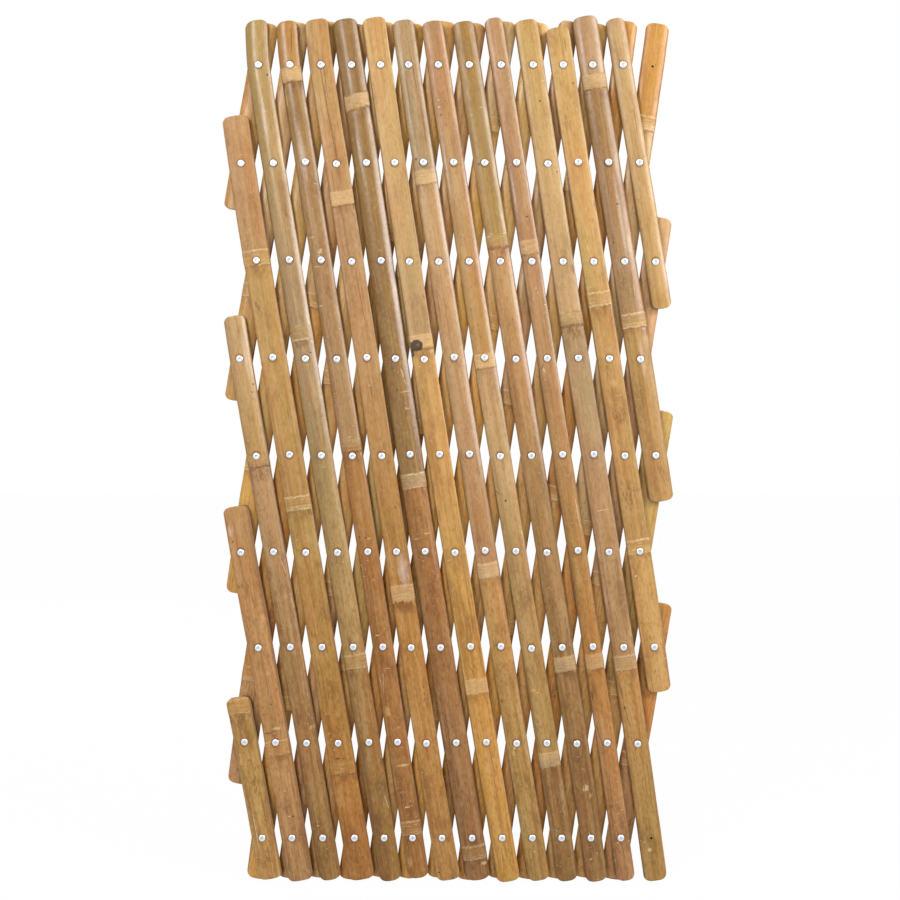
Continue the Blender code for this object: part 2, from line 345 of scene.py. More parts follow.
def drillLath(thing, name, values):
    row = values["rows"][name]
    x, z = rivetAt(row, firstColumn(name) + slopeOfLayer[layerOf(name)] * row)
    x += float(sprungAside(np.array(x), np.array(z)))
    bpy.ops.object.select_all(action="DESELECT")
    face = -lathMeasures(name)["rear"] - culmValues["depth"] - values["overrun"]
    deep = culmValues["depth"] + 2 * values["overrun"]
    bpy.ops.mesh.primitive_cone_add(
        vertices=values["sides"], radius1=values["rearRadius"], radius2=values["radius"], depth=deep,
        location=(x, face + deep / 2, z), rotation=(math.pi / 2, 0, 0))
    drill = bpy.context.object
    only(thing)
    cut = thing.modifiers.new("spare hole", "BOOLEAN")
    cut.object, cut.operation, cut.solver = drill, "DIFFERENCE", "EXACT"
    bpy.ops.object.modifier_apply(modifier=cut.name)
    bpy.data.objects.remove(drill)


# The rivet: a tail flared in the back lath's hollow, a shank, and a domed head with a small dimple
rivetValues = {
    "sides": 16, "astray": 0.0012, "headFrom": -0.0150, "headTilt": 0.05, "smoothAngle": 50,
    "start": (0.0023, -0.0004), "rings": [
        (0.0030, -0.0009), (0.0030, -0.0016), (0.0016, -0.0017), (0.0016, -0.0157),
        (0.00375, -0.01575), (0.00372, -0.01618), (0.0032, -0.01676), (0.0024, -0.01704),
        (0.00175, -0.01709), (0.00125, -0.01690), (0.00060, -0.01681)],
}


def makeRivet(values):
    bpy.ops.object.select_all(action="DESELECT")
    radius, place = values["start"]
    bpy.ops.mesh.primitive_circle_add(
        vertices=values["sides"], radius=radius, fill_type="NGON",
        location=(0, place, 0), rotation=(math.pi / 2, 0, 0))
    bpy.ops.object.transform_apply(location=True, rotation=True, scale=True)
    thing = bpy.context.object
    bpy.ops.object.mode_set(mode="EDIT")
    bpy.context.tool_settings.mesh_select_mode = (False, False, True)
    bpy.ops.mesh.select_all(action="SELECT")
    for nextRadius, nextPlace in values["rings"]:
        bpy.ops.mesh.extrude_region_move(TRANSFORM_OT_translate={"value": (0, nextPlace - place, 0)})
        grow = nextRadius / radius
        bpy.ops.transform.resize(value=(grow, 1, grow), center_override=(0, nextPlace, 0))
        radius, place = nextRadius, nextPlace
    bpy.ops.mesh.select_all(action="SELECT")
    bpy.ops.mesh.normals_make_consistent(inside=False)
    bpy.ops.object.mode_set(mode="OBJECT")
    thing.name = "rivet_blank"
    bpy.ops.object.shade_smooth_by_angle(angle=math.radians(values["smoothAngle"]))
    attribute = thing.data.attributes.new("rivetPlace", "FLOAT_VECTOR", "POINT")
    attribute.data.foreach_set("vector", pointsOf(thing.data).ravel())
    return thing


def setRivet(name, row, column, astray=0.0):
    thing = newObject(name, rivetBlank.data.copy())
    dice = random.Random(f"{row} {column}")
    turn = dice.uniform(0, 2 * math.pi)
    x, z = rivetAt(row, column)
    points = pointsOf(thing.data)
    head = points[:, 1] < rivetValues["headFrom"]
    tilt = rivetValues["headTilt"]
    turned = points.copy()
    turned[:, 0] = points[:, 0] * math.cos(turn) - points[:, 2] * math.sin(turn)
    turned[:, 2] = points[:, 0] * math.sin(turn) + points[:, 2] * math.cos(turn)
    turned[:, 1] += head * turned[:, 0] * dice.uniform(-tilt, tilt)    # no head sits quite flat
    turned[:, 1] += head * turned[:, 2] * dice.uniform(-tilt, tilt)
    turned[:, 0] += x + sprungAside(np.array(x), np.array(z))
    turned[:, 2] += z + dice.uniform(-astray, astray)
    thing.data.vertices.foreach_set("co", turned.ravel())
    thing.data.update()
    return thing


def paint(thing, material):
    thing.data.materials.clear()
    thing.data.materials.append(material)


def joinAll(things, name):
    only(things[0])
    for other in things[1:]:
        other.select_set(True)
    if len(things) > 1:
        bpy.ops.object.join()
    things[0].name = name
    things[0].data.name = name
    return things[0]


# Bamboo tones, as they look on a plain pale day
skinTones = {
    "straw": (0.56, 0.335, 0.113), "paleStraw": (0.66, 0.42, 0.188), "golden": (0.55, 0.30, 0.07),
    "tan": (0.47, 0.262, 0.08), "pinkTan": (0.46, 0.25, 0.092), "caramel": (0.42, 0.20, 0.039),
    "russet": (0.36, 0.16, 0.034), "olive": (0.40, 0.25, 0.07), "oliveBrown": (0.31, 0.165, 0.034),
    "brown": (0.29, 0.14, 0.042), "greyTan": (0.40, 0.26, 0.122), "cream": (0.78, 0.60, 0.34),
    "fawn": (0.50, 0.315, 0.141), "clay": (0.43, 0.245, 0.108), "umber": (0.29, 0.155, 0.042),
    "scorched": (0.10, 0.050, 0.022), "soot": (0.035, 0.022, 0.014), "pith": (0.60, 0.42, 0.22),
    # the split-edge tone is darkened partly as painted shade between the laths; the last, whitish tone is
    # painted highlight
    "shadedRawEdge": (0.30, 0.16, 0.055), "paintedSheen": (0.74, 0.62, 0.56),
}


def tone(name, strength=1):
    return tuple(min(1, value * strength) for value in skinTones[name]) + (1,)


# Node helpers; new nodes go to the tree that was opened last
bench = {}


def openTree(owner):
    owner.use_nodes = True
    owner.node_tree.nodes.clear()
    bench["tree"] = owner.node_tree
    return owner


def feed(socket, value):
    if isinstance(value, bpy.types.NodeSocket):
        bench["tree"].links.new(value, socket)
    else:
        socket.default_value = value


def addNode(kind, sockets=None, **settings):
    node = bench["tree"].nodes.new("ShaderNode" + kind)
    for key, value in settings.items():
        setattr(node, key, value)
    for key, value in (sockets or {}).items():
        feed(node.inputs[key], value)
    return node


def calc(operation, first, second=0.0, clamp=False):
    node = addNode("Math", {0: first, 1: second}, operation=operation, use_clamp=clamp)
    return node.outputs[0]


def times(first, second, clamp=False):
    return calc("MULTIPLY", first, second, clamp)


def plus(first, second, clamp=False):
    return calc("ADD", first, second, clamp)


def less(first, second):
    return calc("SUBTRACT", first, second)


def ranged(value, low, high, toLow=0.0, toHigh=1.0):
    node = addNode("MapRange", {0: value, 1: low, 2: high, 3: toLow, 4: toHigh},
                   interpolation_type="SMOOTHSTEP")
    return node.outputs[0]


def blend(share, first, second, way="MIX"):
    node = addNode("Mix", data_type="RGBA", blend_type=way)
    feed(node.inputs[0], share)
    feed(node.inputs[6], first)
    feed(node.inputs[7], second)
    return node.outputs[2]


def overlay(skin, *layers):
    for share, colour in layers:
        skin = blend(share, skin, colour)
    return skin


def grainOf(coords, stretch, shift=(0, 0, 0), detail=3.0, rough=0.55, twist=0.0):
    place = addNode("Mapping", {"Vector": coords, "Location": shift, "Scale": stretch})
    node = addNode("TexNoise", {
        "Vector": place.outputs[0], "Scale": 1.0, "Detail": detail, "Roughness": rough, "Distortion": twist})
    return node.outputs["Fac"]


def rampOf(value, stops):
    node = addNode("ValToRGB", {0: value})
    ramp = node.color_ramp
    ramp.interpolation = "LINEAR"
    while len(ramp.elements) < len(stops):
        ramp.elements.new(0.5)
    for element, (position, colour) in zip(ramp.elements, stops):
        element.position = position
        element.color = colour
    return node


def startMaterial(name):
    material = openTree(bpy.data.materials.new(name))
    shader = addNode("BsdfPrincipled")
    addNode("OutputMaterial", {0: shader.outputs[0]})
    return material, shader


def spotsOf(coords, stretch, shift=(0, 0, 0)):
    place = addNode("Mapping", {"Vector": coords, "Location": shift, "Scale": stretch})
    spots = addNode("TexVoronoi", {"Vector": place.outputs[0], "Scale": 1.0})
    chosen = addNode("SeparateXYZ", {0: spots.outputs["Color"]})
    return spots.outputs["Distance"], chosen.outputs[0]


# The skin: roughness, specular, coat and edge shade go from a flat lath's to a round one's,
# and the wear grows between the foot rows
skinValues = {
    "strengths": (0.94, 0.88),
    "roughness": (0.40, 0.29), "specular": (0.34, 0.42), "coat": (0.0, 0.02), "coatRoughness": 0.24,
    "rougherRaw": 0.30, "rougherFoot": 0.12, "rougherRim": 0.15, "bump": 0.22, "bumpDepth": 0.0003,
    "cloud": 0.55, "streak": 0.42, "fibre": 0.32, "mottle": 0.40, "footRows": (3.6, 6.5), "footWear": 1.7,
    "rivetShadeRing": 0.8, "rimReach": (0.0053, 0.0039), "edgeShade": (0.25, 0.35),
    # the darkening in the gaps between the laths is painted shade, with some old dirt
    "creviceReach": 0.0034, "creviceShade": 0.92, "shadeAndGrime": (0.12, 0.066, 0.036, 1),
    "footTint": (1.0, 0.94, 0.84, 1), "darker": (0.56, 0.45, 0.36, 1), "greener": (0.88, 0.93, 0.80, 1),
    "redder": (1.0, 0.85, 0.78, 1), "nodeWindow": 0.040, "stretchGap": 0.004,
}
# Each grain: its scale across, through and down the lath, the order of its shifts, detail, roughness, twist
grainValues = {
    "fine": ((900, 900, 16), (0, 1, 2), 3.0, 0.6), "broad": ((210, 210, 6), (0, 1, 2), 2.0, 0.5, 0.2),
    "cloud": ((70, 70, 26), (0, 1, 2), 4.0, 0.6), "drift": ((55, 55, 7), (1, 2, 0), 1.0, 0.5),
    "mottle": ((480, 480, 190), (1, 0, 2), 3.0, 0.6), "blotch": ((170, 170, 60), (2, 0, 1), 4.0, 0.65),
    "scuff": ((170, 170, 620), (0, 2, 1), 2.0, 0.6, 0.6), "ragged": ((420, 420, 220), (0, 1, 2), 3.0, 0.6),
    "scored": ((130, 130, 1700), (0, 1, 2), 2.0, 0.6), "patch": ((95, 95, 22), (2, 1, 0), 2.0, 0.6),
}


# The stretch tones down a lath, softened a little where a node parts them
def stretchStops(look, size):
    length = size["bottom"] - size["top"]
    cuts = [node["row"] * rivetPitch for node in look["nodes"]]
    starts = [size["top"]] + cuts
    ends = cuts + [size["bottom"]]
    stops = []
    strengths = look.get("strengths", skinValues["strengths"])
    for names, begin, end in zip(look["tones"], starts, ends):
        for place, name, strength in zip((begin, end), names, strengths):
            stops.append([(place - size["top"]) / length, tone(name, strength)])
    for number in range(1, len(stops) - 1, 2):
        stops[number][0] -= skinValues["stretchGap"]
        stops[number + 1][0] += skinValues["stretchGap"]
    return [(min(1, max(0, place)), colour) for place, colour in stops]


def culmSkin(name, look):
    values = skinValues
    size = lathMeasures(name)
    curved = look.get("round", 0.5)
    scuffed, specked = look.get("scuffed", 0.5), look.get("specked", 0.5)
    dice = random.Random(name + " skin")
    shift = [dice.uniform(-40, 40) for _ in range(3)]
    material, shader = startMaterial(name.replace("lath", "skin"))
    coords = addNode("Attribute", attribute_name="culmPlace").outputs["Vector"]
    parts = addNode("SeparateXYZ", {0: coords})
    across, along = parts.outputs[0], parts.outputs[2]
    fine, broad, cloud, drift, mottle, blotch, scuff, ragged, scored, patch = [
        grainOf(coords, stretch, [shift[axis] for axis in order], *rest)
        for stretch, order, *rest in grainValues.values()]
    uneven = less(ragged, 0.5)

    share = calc("DIVIDE", less(along, size["top"]), size["bottom"] - size["top"])
    base = rampOf(share, stretchStops(look, size)).outputs[0]
    foot = ranged(along, *[row * rivetPitch for row in values["footRows"]])
    base = blend(foot, base, blend(1.0, base, values["footTint"], "MULTIPLY"))
    darker, greener, redder = [blend(1.0, base, values[key], "MULTIPLY")
                               for key in ("darker", "greener", "redder")]
    paler = blend(0.30, base, tone("cream"))
    skin = overlay(base, (ranged(drift, 0.50, 0.72, 0, 0.9), greener),
                   (ranged(drift, 0.50, 0.30, 0, 0.9), redder), (ranged(blotch, 0.47, 0.36, 0, 0.55), redder))
    for grain, key in ((cloud, "cloud"), (broad, "streak"), (mottle, "mottle"), (fine, "fibre")):
        amount = values[key]
        deeper = ranged(foot, 0, 1, amount, values["footWear"] * amount)
        skin = overlay(skin, (times(ranged(grain, 0.50, 0.71), deeper), darker),
                       (ranged(grain, 0.47, 0.29, 0, amount * 0.8), paler))
    dirtier = plus(blotch, times(foot, 0.045))
    stained = 0.75 * look.get("stained", 0.5)
    scuffs = times(ranged(scuff, 0.66, 0.74), ranged(cloud, 0.50, 0.62))
    scuffs = times(scuffs, ranged(foot, 0, 1, scuffed, values["footWear"] * scuffed), clamp=True)
    distance, chosen = spotsOf(coords, (330, 330, 200))
    dot = ranged(distance, 0.26, 0.10)
    specks = times(times(dot, ranged(chosen, 0.93, 0.95)), specked)
    distance, kept = spotsOf(coords, (760, 760, 420), shift)
    pits = times(ranged(distance, 0.36, 0.12), ranged(kept, 0.62, 0.70))
    worn = plus(patch, times(foot, 0.05))
    pits = times(pits, ranged(worn, 0.53, 0.66, 0, 0.4 + 0.8 * specked))
    skin = overlay(skin, (ranged(dirtier, 0.60, 0.70, 0, stained), darker), (scuffs, tone("cream")),
                   (specks, tone("scorched")), (pits, tone("brown", 0.55)))

    # the nodes: a pale ring, fine scores on it, and bruised skin and buds below it
    rings, below, walls = 0.0, 0.0, 0.0
    for node in look["nodes"]:
        away = less(along, node["row"] * rivetPitch)
        if node.get("tilt"):
            away = less(away, times(across, node["tilt"]))
        away = plus(away, times(uneven, 0.005 * node.get("rough", 1)))
        apart = calc("ABSOLUTE", away)
        window = plus(times(away, 1 / values["nodeWindow"]), 0.5, clamp=True)
        ramp = rampOf(window, nodeStops(node))
        least = 0.80 if node["kind"] in ("pale", "cream") else 0.35
        patchy = ranged(mottle, 0.38, 0.58, least, 1.15)
        cover = times(ramp.outputs[1], ranged(foot, 0, 1, 1, 0.65))
        skin = blend(times(cover, patchy, clamp=True), skin, ramp.outputs[0])
        rings = plus(rings, ranged(apart, 0.0085, 0.0065))
        walls = plus(walls, ranged(apart, 0.0050, 0.0022))
        under = times(ranged(away, 0.0062, 0.0080), ranged(away, 0.024, 0.009))
        below = plus(below, times(under, node.get("bruise", 1)))
    if look["nodes"]:
        for low, high, colour in ((0.52, 0.62, darker), (0.44, 0.32, tone("cream"))):
            lined = times(ranged(scored, low, high, 0, 0.30), rings)
            skin = blend(lined, skin, colour)
        bruise = times(ranged(blotch, 0.44, 0.58, 0, 0.85), below)
        budded = times(times(dot, ranged(chosen, 0.66, 0.70)),
                       plus(times(rings, 0.5), times(below, 0.6)))
        skin = overlay(skin, (bruise, darker), (budded, tone("scorched", 1.6)))

    # a dark ring painted round each rivet head: partly contact shade, partly dirt
    nearRow = calc("PINGPONG", along, rivetPitch / 2)
    reach = addNode("CombineXYZ", {0: across, 1: nearRow})
    reach = addNode("VectorMath", {0: reach.outputs[0]}, operation="LENGTH").outputs["Value"]
    reach = plus(reach, times(uneven, 0.0012))
    rim = ranged(reach, *values["rimReach"], 0, values["rivetShadeRing"])
    if name in spareHole["rows"]:
        spare = calc("ABSOLUTE", less(along, spareHole["rows"][name] * rivetPitch))
        rim = times(rim, ranged(spare, *spareHole["clearance"]))
    skin = blend(rim, skin, darker)

    for mark in look.get("marks", ()):
        mask = markMask(mark, across, along, ragged, mottle)
        skin = blend(mask, skin, tone(*markKinds[mark[0]][:2]))
    # the skin is darker towards the edges, most on the round laths: painted shade of the rounded culm, with
    # some real browning where the culm wall was split; the thin dark outline at the very edge is painted
    # shadow
    half = (size["left"] + size["right"]) / 2
    aside = plus(calc("ABSOLUTE", across), times(ragged, 0.0008))
    flat, rounded = values["edgeShade"]
    border = ranged(aside, 0.92 * half, 1.05 * half)
    skin = overlay(skin, (times(border, flat + curved * (rounded - flat)), darker),
                   (ranged(aside, 0.99 * half, 1.03 * half, 0, 0.5), tone("scorched", 1.5)))

    # the split edges and the ends take a dark raw tone, which on the split edges is partly painted shade
    # between the laths; and the pith behind
    facing = addNode("TexCoord").outputs["Normal"]
    normal = addNode("SeparateXYZ", {0: facing})
    sideways = (math.cos(lean), 0, slopeOfLayer[layerOf(name)] * math.sin(lean))
    turned = addNode("VectorMath", {0: facing, 1: sideways}, operation="DOT_PRODUCT")
    edge = ranged(calc("ABSOLUTE", turned.outputs["Value"]), 0.72, 0.93)
    rear = ranged(normal.outputs[1], 0.25, 0.55)
    endGrain = ranged(calc("ABSOLUTE", normal.outputs[2]), 0.75, 0.9)
    raw = tone("shadedRawEdge", look.get("edge", 0.8))
    raw = blend(ranged(fine, 0.4, 0.65, 0, 0.7), raw, tone("brown", 0.9))
    pith = overlay(
        tone("pith", dice.uniform(0.75, 1.1)), (ranged(broad, 0.4, 0.7, 0, 0.6), tone("tan", 0.9)),
        (0.35, base), (ranged(fine, 0.5, 0.7, 0, 0.5), tone("brown")),
        (ranged(dirtier, 0.54, 0.68, 0, 0.6), darker), (times(walls, 0.75), tone("brown", 1.1)))
    skin = overlay(skin, (calc("MAXIMUM", edge, endGrain), raw), (rear, pith))
    # painted shade, partly taken as old dirt: an ambient occlusion node darkens the skin where the laths lie
    # close upon each other
    creviceShade = addNode("AmbientOcclusion", {"Distance": values["creviceReach"]}, samples=6)
    shadeAndGrime = blend(1.0, skin, values["shadeAndGrime"], "MULTIPLY")
    skin = blend(ranged(creviceShade.outputs["AO"], 0.90, 0.45, 0, values["creviceShade"]), skin, shadeAndGrime)
    feed(shader.inputs["Base Color"], skin)

    matt = calc("MAXIMUM", edge, rear)
    matt = calc("MAXIMUM", matt, times(rings, 0.6), clamp=True)
    flat, rounded = values["roughness"]
    smoothest = flat + curved * (rounded - flat)
    rough = ranged(cloud, 0.3, 0.7, smoothest - 0.04, smoothest + 0.09)
    for share, key in ((matt, "rougherRaw"), (foot, "rougherFoot"), (border, "rougherRim")):
        rough = plus(rough, times(share, values[key]), clamp=True)
    feed(shader.inputs["Roughness"], rough)
    for socket, key in (("Specular IOR Level", "specular"), ("Coat Weight", "coat")):
        flat, rounded = values[key]
        shader.inputs[socket].default_value = flat + curved * (rounded - flat)
    shader.inputs["Coat Roughness"].default_value = values["coatRoughness"]

    height = plus(times(fine, 0.6), times(cloud, 0.5))
    height = plus(height, times(times(scored, rings), 0.8))
    bump = addNode("Bump", {
        "Strength": values["bump"], "Distance": values["bumpDepth"], "Height": height})
    feed(shader.inputs["Normal"], bump.outputs[0])
    return material


# A node's look from above to below: each stop is millimetres from its middle, a tone and its cover
nodeKinds = {
    "pale": [(-8.2, "tan", 0), (-7.4, "paleStraw", 0.55), (5.8, "paleStraw", 0.55), (6.8, "tan", 0.6),
             (7.6, "brown", 0.85), (9, "brown", 0.40), (17, "brown", 0)],
    "cream": [(-9, "paleStraw", 0), (-8, "paleStraw", 0.60), (0, "cream", 0.34), (7, "cream", 0.40),
              (8.2, "brown", 0.7), (10, "brown", 0.35), (17, "brown", 0)],
    "scored": [(-9, "tan", 0), (-7.6, "cream", 0.75), (-6.8, "tan", 0.5), (0, "golden", 0.35),
               (6.0, "tan", 0.5), (7.0, "cream", 0.8), (8.0, "brown", 0.55), (14, "brown", 0)],
    "lined": [(-9.4, "brown", 0), (-8.2, "brown", 0.4), (-6.8, "cream", 0.65), (-5.4, "tan", 0.35),
              (2.0, "tan", 0.4), (3.2, "cream", 0.35), (4.4, "tan", 0.35), (6.4, "cream", 0.65),
              (8.2, "brown", 0.6), (13, "brown", 0)],
    "grey": [(-8.6, "greyTan", 0), (-7.4, "cream", 0.6), (-6, "greyTan", 0.85), (5.0, "greyTan", 0.85),
             (6.6, "cream", 0.55), (7.8, "brown", 0.85), (15, "brown", 0)],
    "dark": [(-9, "brown", 0), (-7, "brown", 0.75), (-5.5, "olive", 0.5), (4, "oliveBrown", 0.5),
             (6, "scorched", 0.8), (7.5, "brown", 0.6), (15, "brown", 0)],
    "wrinkled": [(-9, "olive", 0), (-7, "oliveBrown", 0.8), (-5, "olive", 0.5), (-2, "oliveBrown", 0.7),
                 (0.5, "olive", 0.5), (3, "oliveBrown", 0.7), (5.4, "olive", 0.4), (6.4, "cream", 0.75),
                 (8.5, "oliveBrown", 0.5), (14, "oliveBrown", 0)],
}


def nodeStops(node):
    stops = []
    for place, name, cover in nodeKinds[node["kind"]]:
        position = place * node.get("tall", 1) / (1000 * skinValues["nodeWindow"]) + 0.5
        colour = tone(name, node.get("strength", 1))[:3]
        stops.append((position, colour + (min(1, cover * node.get("cover", 1)),)))
    return stops


# Marks on the skin: a tone and its strength, how much it covers, how ragged its rim is,
# how softly it fades and how much the skin's mottle breaks it up
markKinds = {
    "speck": ("scorched", 0.9, 0.85, 0.4, 0.5, 0),
    "knot": ("soot", 1.1, 0.95, 0.7, 0.75, 0),
    "ring": ("scorched", 1.5, 0.75, 0.5, 0.7, 0),
    "crack": ("scorched", 1.3, 0.8, 0.9, 0.4, 0),
    "streak": ("brown", 0.62, 0.55, 1.2, 0, 0),
    "stain": ("brown", 0.72, 0.6, 2.2, 0, 0.9),
    "olive": ("oliveBrown", 0.8, 0.55, 1.4, -0.4, 0.6),
    "grey": ("greyTan", 0.8, 0.55, 1.4, 0, 0.6),
    "russet": ("russet", 0.95, 0.5, 0.8, -0.5, 0),
    "scratch": ("cream", 0.9, 0.55, 1.6, 0.2, 0),
    "scar": ("cream", 0.8, 0.6, 3, 0.3, 0),
    "pale": ("paleStraw", 0.95, 0.45, 1.2, -0.4, 0),
    # painted highlight: a whitish sheen where the soft boxes are reflected
    "paintedSheen": ("paintedSheen", 1, 0.46, 0.7, -0.6, 0),
    "yellow": ("straw", 1.12, 0.5, 2.6, 0.1, 0),
}


# A mark is its kind, its row, how far right of the middle, its height and width in millimetres,
# and for some a slant and a bow
def markMask(mark, across, along, ragged, mottle):
    kind, row, right, tall, wide = mark[:5]
    slant = mark[5] if len(mark) > 5 else 0
    bow = mark[6] if len(mark) > 6 else 0
    _, _, cover, rim, soft, broken = markKinds[kind]
    up = calc("DIVIDE", less(along, row * rivetPitch), 0.0005 * tall)
    over = less(across, 0.001 * right)
    if slant:
        over = less(over, times(up, 0.001 * slant))
    if bow:
        curved = times(up, up)
        over = less(over, times(curved, 0.001 * bow))
    over = calc("DIVIDE", over, 0.0005 * wide)
    reach = plus(times(up, up), times(over, over))
    uneven = times(less(ragged, 0.5), 2 * rim)
    mask = ranged(plus(reach, uneven), 1.15, soft, 0, cover)
    if broken:
        mask = times(mask, ranged(mottle, 0.40, 0.60, 1 - broken, 1.3))
    return mask


def nodeAt(row, kind="pale", **more):
    return {"row": row, "kind": kind, **more}
